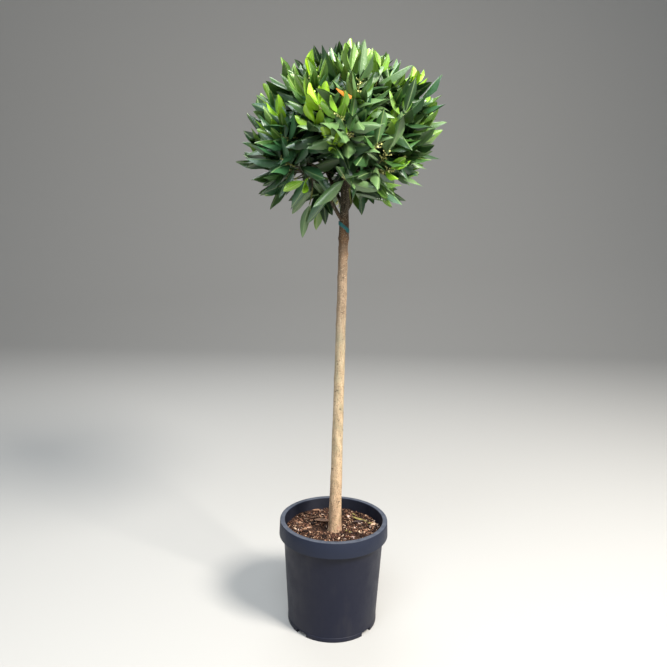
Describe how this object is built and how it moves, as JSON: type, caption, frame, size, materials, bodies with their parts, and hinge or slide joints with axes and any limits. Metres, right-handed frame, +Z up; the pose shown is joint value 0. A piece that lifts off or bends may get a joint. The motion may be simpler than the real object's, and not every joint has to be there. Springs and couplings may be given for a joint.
{
  "type": "potted standard bay topiary",
  "caption": "Standard bay tree: a clipped round head of glossy evergreen leaves on one clear straight stem, growing in a plain dark plastic pot with a folded rim and bark-topped compost.",
  "frame": {"origin": "centre of the flat underside of the pot", "axes": "+Z up along the stem, -Y towards the front of the plant, +X to the right as seen from the front"},
  "size_m": [0.5054, 0.4764, 1.3605],
  "materials": {
    "pot_plastic": "matte moulded plastic, blue-black, with a soft sheen on the rim",
    "compost": "dry brown compost under coarse bark chips",
    "bark": "smooth olive-beige bark with small dark bud scars",
    "tie_plastic": "thin blue-green plastic strip",
    "foliage": "glossy leathery evergreen leaves, bright green where young"
  },
  "bodies": {
    "root": {"pot": "pot_plastic", "compost": "compost", "trunk": "bark", "tie": "tie_plastic", "bough_upper_1": "bark", "bough_upper_2": "bark", "bough_upper_3": "bark", "bough_upper_4": "bark", "bough_middle_1": "bark", "bough_middle_2": "bark", "bough_middle_3": "bark", "bough_middle_4": "bark", "bough_middle_5": "bark", "bough_lower_1": "bark", "bough_lower_2": "bark", "bough_lower_3": "bark", "bough_lower_4": "bark", "leaves_top": "foliage", "leaves_upper_1": "foliage", "leaves_upper_2": "foliage", "leaves_upper_3": "foliage", "leaves_upper_4": "foliage", "leaves_middle_1": "foliage", "leaves_middle_2": "foliage", "leaves_middle_3": "foliage", "leaves_middle_4": "foliage", "leaves_middle_5": "foliage", "leaves_lower_1": "foliage", "leaves_lower_2": "foliage", "leaves_lower_3": "foliage", "leaves_lower_4": "foliage"}
  },
  "joints": []
}
